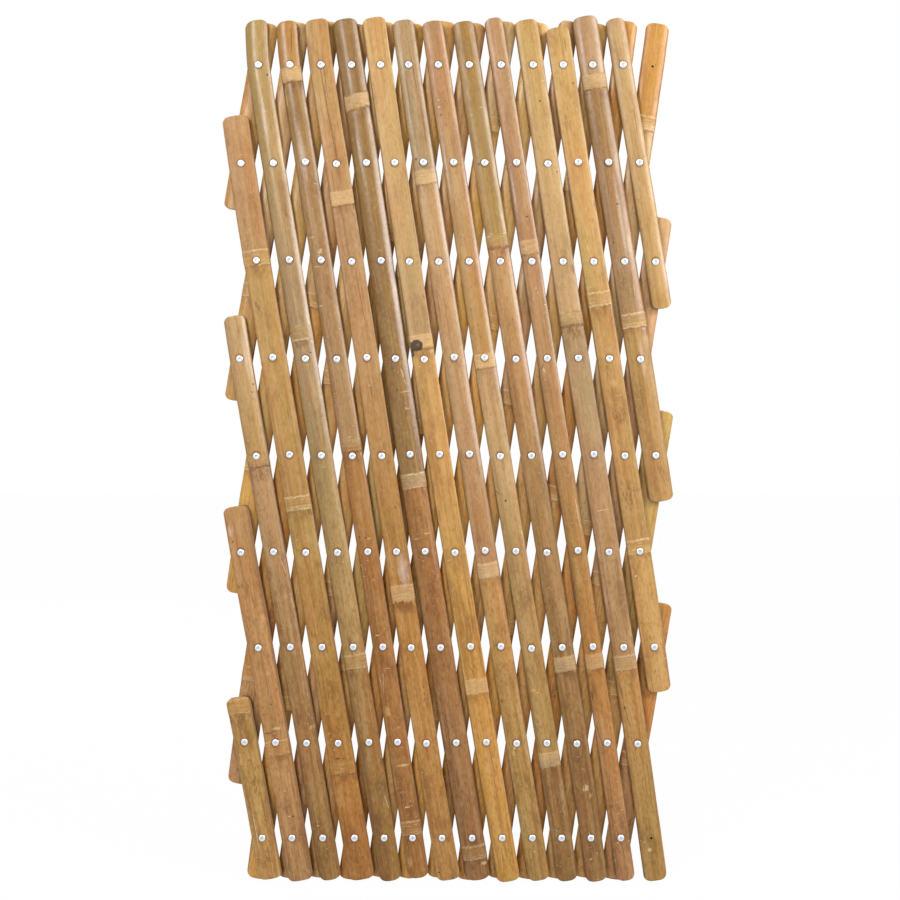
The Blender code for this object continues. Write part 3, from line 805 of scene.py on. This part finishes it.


# What each front lath looks like, by number: its nodes, its marks, and from the top down the tone that
# each stretch between nodes begins and ends with
# Among the marks, the whitish sheen ones are painted highlights.
frontLooks = {
    1: {
        "nodes": [nodeAt(6.62, "scored", bruise=1.6)], "round": 0.3, "stained": 0.8,
        "tones": [("tan", "tan"), ("olive", "straw")],
        "marks": [("stain", 6.8, 1, 16, 12), ("yellow", 7.18, -7, 18, 3), ("stain", 7.45, 4, 22, 9),
            ("scratch", 7.85, -5, 50, 1), ("streak", 7.75, 7, 30, 2.5), ("stain", 8.2, 4, 18, 8)]},
    2: {
        "nodes": [nodeAt(7.06, "scored")], "round": 0.15,
        "tones": [("pinkTan", "pinkTan"), ("pinkTan", "clay")],
        "marks": [("paintedSheen", 4.78, -7, 18, 6), ("speck", 4.89, -6.5, 2.2, 2.2), ("stain", 5.35, 0, 5, 18),
            ("yellow", 5.71, 10, 9, 4), ("crack", 6.15, 7, 9, 0.9, 1), ("pale", 6.28, 5, 6, 6),
            ("crack", 6.89, -6, 1.2, 11, 0), ("scar", 6.85, 4, 3, 9), ("crack", 7.28, 8, 8, 0.8, 0.6),
            ("speck", 7.78, 5, 2.4, 2.4), ("crack", 8.24, -7, 20, 1.3, -1.5), ("speck", 6.6, 3, 2, 2)]},
    3: {
        "nodes": [nodeAt(4.06, "dark")], "round": 0.9, "stained": 0.9, "specked": 0.7,
        "tones": [("fawn", "tan"), ("clay", "oliveBrown")],
        "marks": [("speck", 3.28, 9, 3, 2), ("speck", 3.36, 7, 2, 2), ("paintedSheen", 3, 6, 60, 4),
            ("stain", 4.22, 0, 9, 16), ("olive", 4.92, 0, 14, 18), ("scratch", 5.15, 7, 24, 0.7, 2),
            ("olive", 6.17, 4, 16, 14), ("olive", 6.5, -2, 14, 16), ("yellow", 6.85, 9, 5, 7),
            ("scratch", 5.55, 10, 20, 0.6, 1.5), ("streak", 5.6, -6, 60, 2), ("olive", 7.6, 2, 60, 14)]},
    4: {
        "nodes": [nodeAt(1.97, "scored"), nodeAt(4.5, "lined"), nodeAt(7.27, "dark")],
        "round": 0.1, "stained": 0.4,
        "tones": [("pinkTan", "pinkTan"), ("tan", "tan"), ("olive", "caramel"), ("caramel", "russet")],
        "marks": [("streak", 0.77, -10, 9, 2), ("yellow", 0.92, 2, 1.6, 8), ("russet", 0.85, -4, 50, 9),
            ("crack", 1.6, -6, 14, 0.7, 1), ("stain", 2.45, -6, 14, 6), ("crack", 3.6, 6, 20, 0.7),
            ("speck", 7.16, -3, 2, 6), ("speck", 7.17, 3, 1.6, 2.4), ("streak", 6.4, -9, 60, 2)]},
    5: {
        "nodes": [nodeAt(2.74, "wrinkled"), nodeAt(6.15, "lined")], "round": 1, "topBend": 0.004,
        "tones": [("olive", "greyTan"), ("greyTan", "olive"), ("oliveBrown", "oliveBrown")],
        "marks": [("knot", 0.11, 7.5, 2.6, 2.2), ("crack", -0.15, 9, 60, 0.8), ("paintedSheen", 0.55, -1.5, 60, 5),
            ("scratch", 0.35, -1, 2, 2), ("scratch", 0.47, 0, 1.6, 3), ("paintedSheen", 2.6, 10.5, 330, 9),
            ("grey", 4.82, -5, 4, 3), ("scratch", 7.63, 8, 14, 0.9, 1), ("speck", 2.95, 6, 1.8, 3),
            ("stain", 1.5, 5, 16, 4)]},
    6: {
        "nodes": [nodeAt(0.1, bruise=1.4), nodeAt(3.9, "dark", cover=0.5), nodeAt(7.9, "lined")],
        "round": 0.9, "scuffed": 1, "topBend": 0.003,
        "tones": [("caramel", "caramel"), ("umber", "clay"), ("russet", "russet"), ("russet", "russet")],
        "marks": [("crack", -0.25, 4, 30, 1.2, -1), ("streak", -0.2, -4, 30, 3),
            ("yellow", 0.33, -8.5, 18, 1.6), ("paintedSheen", 0.9, -1, 70, 6), ("scratch", 1.75, -5, 1.4, 6),
            ("scar", 1.9, 1, 5, 5), ("scratch", 2.05, -6, 1.2, 7), ("scratch", 2.45, -8, 2, 4),
            ("stain", 2.3, 3, 20, 6), ("speck", 4.84, -6, 2.4, 2.2), ("speck", 4.86, 0, 2, 3),
            ("scratch", 4.87, 3, 1.4, 5), ("scar", 5.3, 2, 4, 3), ("scratch", 6.22, 1, 1.1, 7),
            ("scratch", 6.36, -5, 22, 0.9, -1.5), ("scratch", 6.33, -8, 15, 0.7, 1),
            ("yellow", 6.66, -5, 10, 6), ("stain", 6.75, 4, 22, 9), ("scar", 7.24, 2, 2.4, 12),
            ("crack", 7.35, -7, 10, 0.8), ("pale", 8.25, -6, 12, 7)]},
    7: {
        "nodes": [nodeAt(1.36, bruise=1.3), nodeAt(5.44, "cream", tall=1.15, rough=1.7, bruise=1.8)],
        "round": 0.05, "stained": 0.4, "topBend": 0.002,
        "tones": [("tan", "pinkTan"), ("clay", "caramel"), ("caramel", "tan")],
        "marks": [("crack", 0.25, -1, 130, 0.8, 1.2), ("crack", 0.05, 2.5, 60, 0.6, -1),
            ("streak", 0.5, 0, 90, 2.4, 1), ("crack", 0.85, 1.5, 36, 0.9, -1),
            ("crack", 2.35, 3, 70, 0.6, 1), ("crack", 1.15, -6, 20, 0.6), ("paintedSheen", 5.2, 4, 40, 14),
            ("ring", 6.42, 6, 3.4, 1.6), ("ring", 6.49, 6, 2.6, 1.8), ("ring", 6.55, 5, 2.2, 1.4),
            ("streak", 7.85, 5, 12, 1.6, 1), ("streak", 8.25, 5, 16, 3), ("speck", 8.35, -9, 2, 3),
            ("speck", 4.55, 6, 1.8, 1.6), ("stain", 5.62, 0, 10, 16)]},
    8: {
        "nodes": [nodeAt(0.37, tilt=-0.12, rough=1.3), nodeAt(4.27, "grey"), nodeAt(8.16, "lined")],
        "round": 1, "stained": 0.8,
        "tones": [("umber", "umber"), ("umber", "umber"), ("russet", "brown"), ("brown", "brown")],
        "marks": [("stain", -0.2, 8, 22, 6), ("stain", -0.05, -2, 14, 6), ("paintedSheen", 0.9, -5.5, 55, 4),
            ("paintedSheen", 2.3, 10.5, 400, 11), ("scar", 3.18, 5, 14, 1.6, 1), ("speck", 3.32, -3, 3, 2.6),
            ("scratch", 3.35, 5, 1, 13), ("scratch", 3.52, 3, 3, 2), ("scratch", 4.82, 5, 1.1, 10),
            ("scratch", 4.86, -7, 1.1, 8), ("ring", 5.27, 6, 4, 3), ("crack", 2.2, -7, 30, 0.7, 1),
            ("scar", 8.28, 8, 3, 5)]},
    9: {
        "nodes": [nodeAt(2.83), nodeAt(6.41, "cream")],
        "round": 0.15, "stained": 0.25, "scuffed": 0.25, "specked": 0.25,
        "tones": [("straw", "fawn"), ("straw", "golden"), ("golden", "golden")],
        "marks": [("knot", 2.86, -6, 12, 13), ("grey", 2.86, -4.5, 5, 4), ("knot", 2.93, -11.5, 9, 5),
            ("scar", 2.94, 8, 3, 6), ("stain", 2.4, 8, 12, 5), ("olive", 4.32, -11, 20, 7),
            ("olive", 4.6, -10, 18, 8), ("streak", 5.82, 5, 28, 1.8, -3),
            ("crack", 6.22, -3, 11, 0.9, 2, -1), ("grey", 6.6, -7, 9, 2.2), ("grey", 6.7, -6, 10, 2),
            ("crack", 8.2, -3, 22, 0.7, -0.6), ("streak", 3.35, -6, 9, 2), ("crack", 7.2, 3, 40, 0.6, 0.6)]},
    10: {
        "nodes": [nodeAt(1.14, rough=1.6), nodeAt(5.2, "cream", bruise=0.6)], "round": 0.6, "stained": 0.7,
        "tones": [("greyTan", "greyTan"), ("fawn", "clay"), ("tan", "olive")],
        "marks": [("crack", 0.1, 4, 60, 0.7, 1), ("crack", 0.4, -5, 50, 0.7, -1), ("streak", 0.6, 6, 50, 2),
            ("speck", 0.95, -7, 3, 3), ("speck", 1, -3, 1.6, 3), ("scratch", 0.97, -1, 1, 8),
            ("paintedSheen", 1.6, 10, 200, 8), ("paintedSheen", 3.6, 9.5, 150, 8), ("scratch", 4.45, 0, 12, 0.8, 3),
            ("crack", 5.97, -4, 2, 5), ("ring", 6.55, -8, 4, 3), ("yellow", 7.1, -5, 9, 3),
            ("scratch", 7.05, -3, 3, 2.4), ("stain", 7.32, -6, 8, 8), ("crack", 8.2, -2, 20, 0.8),
            ("streak", 2.4, -7, 60, 1.6), ("russet", 4.6, 0, 60, 16)]},
    11: {
        "nodes": [nodeAt(3.03, bruise=0.4), nodeAt(7.18, "cream")], "round": 0.6, "specked": 0.8,
        "tones": [("clay", "tan"), ("fawn", "olive"), ("umber", "umber")],
        "marks": [("scratch", 0.35, -5, 2, 4), ("scratch", 0.42, -6, 2.4, 3), ("speck", 0.5, -5, 2, 3),
            ("paintedSheen", 2.5, 10.5, 350, 8), ("paintedSheen", 1, -8, 90, 3), ("scratch", 4.83, 9, 8, 1.2),
            ("crack", 4.37, -9, 6, 1.6, 2), ("speck", 4.47, -2, 3.4, 2.4), ("yellow", 6.44, -5, 4, 5),
            ("scratch", 6.47, -2, 1.2, 5), ("stain", 7.55, 2, 14, 9), ("speck", 7.6, 2, 3, 2),
            ("speck", 7.75, 4, 2.4, 2.4), ("speck", 7.9, -2, 3, 2), ("stain", 8.1, -3, 22, 9),
            ("speck", 8.2, 5, 2, 3)]},
    12: {
        "nodes": [nodeAt(1.8, "dark", cover=0.8), nodeAt(6.18, "cream")], "round": 0.9,
        "tones": [("oliveBrown", "olive"), ("pinkTan", "umber"), ("umber", "umber")],
        "marks": [("olive", 0, -3, 110, 7), ("grey", 0.6, 4, 90, 7), ("scratch", 0.44, 5, 1.4, 5),
            ("scratch", 0.5, -5, 2, 1.6), ("speck", 1, -6, 3, 3), ("scratch", 1.73, 9, 2, 4),
            ("scratch", 1.74, -8, 1.6, 5), ("grey", 4.78, 3, 4, 5), ("scar", 7.48, 2, 6, 7),
            ("yellow", 7.56, 6, 6, 3), ("streak", 3.3, -6, 70, 2), ("scratch", 7.95, -1, 7, 1),
            ("paintedSheen", 3.2, 10.5, 260, 8)]},
    13: {
        "nodes": [nodeAt(1.86, cover=0.7), nodeAt(6.15, "cream", cover=0.8)], "round": 0.7, "scuffed": 0.8,
        "tones": [("clay", "clay"), ("clay", "caramel"), ("caramel", "clay")],
        "marks": [("scratch", 2.28, 0, 2.4, 2), ("scratch", 2.33, 1, 2, 1.6),
            ("crack", 3.08, -6, 8, 1.2, -2), ("scar", 3.12, -5, 5, 3), ("paintedSheen", 2.6, 10.5, 330, 8),
            ("scratch", 4.62, 6, 36, 1.2, 0.4), ("crack", 5.35, -9, 60, 1.4), ("yellow", 5.4, -9.5, 66, 1),
            ("crack", 6.95, -6, 30, 1.1, 2.5), ("crack", 7.5, -3.5, 50, 1, -0.6, 1),
            ("ring", 7.66, -5, 4, 3.4), ("crack", 8.05, -1, 42, 1.1, 3), ("speck", 6.5, -8, 10, 1.6),
            ("speck", 1.55, 2, 2, 3), ("paintedSheen", 1.3, -7, 60, 3)]},
    14: {
        "nodes": [nodeAt(2.6, "dark", rough=1.6, bruise=1.8), nodeAt(6.16, "grey")],
        "round": 0.5, "stained": 0.4, "specked": 0.4,
        "tones": [("straw", "fawn"), ("greyTan", "clay"), ("tan", "olive")],
        "marks": [("speck", 0.37, 1.5, 2.4, 2.4), ("stain", 2.75, 0, 14, 20), ("grey", 3.4, 1, 90, 9),
            ("scratch", 4.57, 0, 1.2, 16), ("russet", 4.75, 2, 60, 10), ("crack", 6.45, -9, 22, 1.6, 1),
            ("crack", 6.7, -7, 30, 1.1, 2), ("speck", 6.62, -8, 4, 2.4), ("scratch", 8.12, -3, 4, 5),
            ("speck", 2.1, 9, 12, 1.4), ("speck", 1.1, 8, 3, 1.6), ("streak", 7.4, 6, 90, 2)]},
    15: {
        "nodes": [nodeAt(2.39, "lined"), nodeAt(4.95, "lined", cover=1.2)], "round": 0.4, "stained": 0.5,
        "tones": [("straw", "straw"), ("tan", "tan"), ("straw", "straw")],
        "marks": [("speck", 0.2, 7, 3, 1.6), ("speck", 1.45, 10, 14, 1), ("scratch", 1.9, -3, 24, 0.8, 2),
            ("pale", 3.25, 0, 12, 10), ("stain", 3.15, -4, 16, 5), ("stain", 4.4, 0, 34, 18),
            ("stain", 3.6, 0, 20, 16), ("speck", 6, 3, 1.6, 1.6), ("crack", -0.2, 5, 18, 0.7)]},
    16: {
        "nodes": [nodeAt(0.17, cover=0.8), nodeAt(2.61, "lined")], "round": 0.9, "stained": 0.7,
        "tones": [("clay", "clay"), ("umber", "clay"), ("tan", "tan")],
        "marks": [("paintedSheen", 1.6, 3, 120, 5), ("crack", 0.35, -7, 9, 1), ("scratch", 1.35, 3, 2.4, 2),
            ("speck", 1.42, 2, 2, 3), ("scratch", 2.3, 5, 16, 0.8), ("stain", 2.2, -6, 26, 7),
            ("paintedSheen", 3, 2, 50, 5), ("speck", 1.8, -8, 3, 1.6), ("crack", 4.25, 4, 10, 0.8, 1)]},
    17: {
        "nodes": [], "round": 0.5, "stained": 0.3, "specked": 0.3,
        "tones": [("fawn", "straw")],
        "marks": [("speck", -0.05, -3, 2, 1.6), ("paintedSheen", 2.1, 8, 60, 4), ("streak", 1.7, -9, 40, 2),
            ("scratch", 1.2, -4, 9, 0.8, 1), ("russet", 2.4, 0, 20, 18), ("crack", 0.6, 3, 30, 0.6, -0.6)]},
}

# Each back lath's tones from the top down, and the rows of its nodes
backLooks = {
    1: (["tan"], []), 2: (["fawn", "tan"], [2.3]), 3: (["tan", "golden"], [4.1]),
    4: (["pinkTan", "caramel", "clay"], [2.4, 6.3]), 5: (["straw", "tan", "golden"], [3.2, 6.6]),
    6: (["golden", "tan", "clay"], [1.7, 5.4]), 7: (["tan", "olive", "tan"], [2.1, 6.2]),
    8: (["pinkTan", "caramel"], [3.7]), 9: (["fawn", "golden", "tan"], [0.58, 5.2]),
    10: (["straw", "golden", "golden"], [2.62, 6.7]), 11: (["clay", "tan"], [3.4]),
    12: (["straw", "tan", "golden"], [1.2, 5.8]), 13: (["caramel", "tan"], [4.4]),
    14: (["caramel", "fawn", "caramel"], [0.57, 4.75]), 15: (["clay", "tan"], [5.3]),
    16: (["olive", "tan"], [6.45]), 17: (["russet", "clay"], [7.2]),
}


# A back lath's tones are painted lighter than a front one's, to make up for the shade that the front laths
# cast on them
def backLook(tones, rows):
    return {"nodes": [nodeAt(row, "lined") for row in rows], "round": 0.5, "edge": 0.7,
            "strengths": (1.30, 1.14), "tones": [(key, key) for key in tones]}


# Rivets: bright aluminium, with painted shade in the dimple and a painted dark ring round the rim; rings are
# shares of the reach and a colour
finishValues = {
    "metallic": 0.8, "roughness": (0.22, 0.42), "bump": 0.2, "bumpDepth": 0.0001,
    "dust": (0.45, 0.48, 0.54, 1), "reach": 0.004, "rings": [
        (0.0, (0.50, 0.57, 0.64, 1)), (0.30, (0.52, 0.59, 0.66, 1)), (0.48, (0.80, 0.81, 0.83, 1)),
        (0.80, (0.82, 0.82, 0.83, 1)), (0.93, (0.40, 0.41, 0.43, 1))],
}


def rivetFinish(values):
    material, shader = startMaterial("rivet_aluminium")
    texture = addNode("TexCoord")
    dust = grainOf(texture.outputs["Object"], (900, 900, 900), (3, 5, 7), 3.0, 0.6)
    place = addNode("Attribute", attribute_name="rivetPlace").outputs["Vector"]
    place = addNode("VectorMath", {0: place, 1: (1, 0, 1)}, operation="MULTIPLY").outputs[0]
    reach = addNode("VectorMath", {0: place}, operation="LENGTH").outputs["Value"]
    # the rings paint shade into the dimple and round the rim
    rings = rampOf(calc("DIVIDE", reach, values["reach"]), values["rings"]).outputs[0]
    metal = blend(ranged(dust, 0.45, 0.7, 0, 0.6), rings, values["dust"])
    feed(shader.inputs["Base Color"], metal)
    feed(shader.inputs["Roughness"], ranged(dust, 0.3, 0.7, *values["roughness"]))
    shader.inputs["Metallic"].default_value = values["metallic"]
    bump = addNode("Bump", {
        "Strength": values["bump"], "Distance": values["bumpDepth"], "Height": dust})
    feed(shader.inputs["Normal"], bump.outputs[0])
    return material


blank = makeBlank(blankValues)
for name in frontLaths + backLaths:
    number = int(name[-2:])
    look = frontLooks[number] if name in frontLaths else backLook(*backLooks[number])
    culm = shapeLath(name, look)
    if name in spareHole["rows"]:
        drillLath(culm, name, spareHole)
    markPlaces(culm, name, look)
    only(culm)
    bpy.ops.object.shade_smooth_by_angle(angle=math.radians(culmValues["smoothAngle"]))
    paint(culm, culmSkin(name, look))
    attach(culm, name)
    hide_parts(name)
bpy.data.objects.remove(blank)
print("laths:", len(frontLaths), "in front,", len(backLaths), "behind")

rivetBlank = makeRivet(rivetValues)
aluminium = rivetFinish(finishValues)
for name in frontLaths:
    things = [setRivet(f"{name}_rivet_{row}", row, firstColumn(name) + row, rivetValues["astray"])
              for row in middleRows(name)]
    group = joinAll(things, name.replace("lath", "rivets"))
    paint(group, aluminium)
    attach(group, name)
for node in frame["nodes"]:
    if "_rivet_" in node:
        row = 0 if node.startswith("top") else rowSteps
        thing = setRivet(node.replace("_rivet_", "_row_rivet_"), row, 2 * (int(node[-2:]) - 1))
        paint(thing, aluminium)
        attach(thing, body_of(frame["nodes"][node])[0])
        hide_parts(node)
bpy.data.objects.remove(rivetBlank)
print("rivets: set")

# Floor and background: plain and white to the eye, and the floor still takes a shadow
stageValues = {
    "floorSize": 12.0, "floorDrop": 0.0004, "floorColour": (0.8, 0.8, 0.8, 1), "floorGlow": 0.985,
    "roomLight": 0.20,
}


def whiteToTheEye():
    path = addNode("LightPath")
    seen = plus(path.outputs["Is Camera Ray"], path.outputs["Is Glossy Ray"])
    return plus(seen, path.outputs["Is Transmission Ray"], clamp=True)


def makeStage(values):
    bpy.ops.object.select_all(action="DESELECT")
    bpy.ops.mesh.primitive_plane_add(size=values["floorSize"], location=(0, 0, -values["floorDrop"]))
    floor = bpy.context.object
    floor.name = "pale_floor"
    material = openTree(bpy.data.materials.new("pale_floor"))
    plain = addNode("BsdfDiffuse", {"Color": values["floorColour"]})
    glow = addNode("Emission", {"Color": (1, 1, 1, 1), "Strength": 1.0})
    share = times(whiteToTheEye(), values["floorGlow"])
    mixed = addNode("MixShader", {0: share, 1: plain.outputs[0], 2: glow.outputs[0]})
    addNode("OutputMaterial", {0: mixed.outputs[0]})
    paint(floor, material)

    world = openTree(bpy.data.worlds.new("pale_room"))
    level = ranged(whiteToTheEye(), 0, 1, values["roomLight"], 1.0)
    room = addNode("Background", {"Color": (1, 1, 1, 1), "Strength": level})
    addNode("OutputWorld", {0: room.outputs[0]})
    bpy.context.scene.world = world


# Two soft boxes above eye level, left and right, whose sheen falls on the upper half,
# one overhead and one behind
lampValues = {
    "left": {"at": (-1.05, -1.75, 1.45), "size": (0.44, 0.90), "power": 23},
    "right": {"at": (1.66, -1.18, 1.35), "size": (0.90, 1.00), "power": 40},
    "above": {"at": (-0.5, -0.90, 2.20), "size": (0.80, 0.50), "power": 5},
    "behind": {"at": (-1.50, 1.70, 1.70), "size": (1.00, 1.20), "power": 34},
}
lampAim = Vector((0, 0, 0.55))


def makeLamps(values):
    for name, lamp in values.items():
        data = bpy.data.lights.new(f"soft_box_{name}", "AREA")
        data.shape = "RECTANGLE"
        data.size, data.size_y = lamp["size"]
        data.energy = lamp["power"]
        thing = newObject(data.name, data)
        thing.location = lamp["at"]
        thing.rotation_euler = (lampAim - Vector(lamp["at"])).to_track_quat("-Z", "Y").to_euler()


cameraValues = {"at": (0.0012, -1.417, 0.4961), "downTilt": 1.98, "lens": 54.93, "sensor": 36}


def makeCamera(values):
    data = bpy.data.cameras.new("eye")
    data.lens = values["lens"]
    data.sensor_width = values["sensor"]
    camera = newObject("eye", data)
    camera.location = values["at"]
    camera.rotation_euler = (math.radians(90 - values["downTilt"]), 0, 0)
    bpy.context.scene.camera = camera


makeStage(stageValues)
makeLamps(lampValues)
makeCamera(cameraValues)
bpy.context.scene.view_settings.view_transform = "Standard"
print("stage, lamps and camera: set")
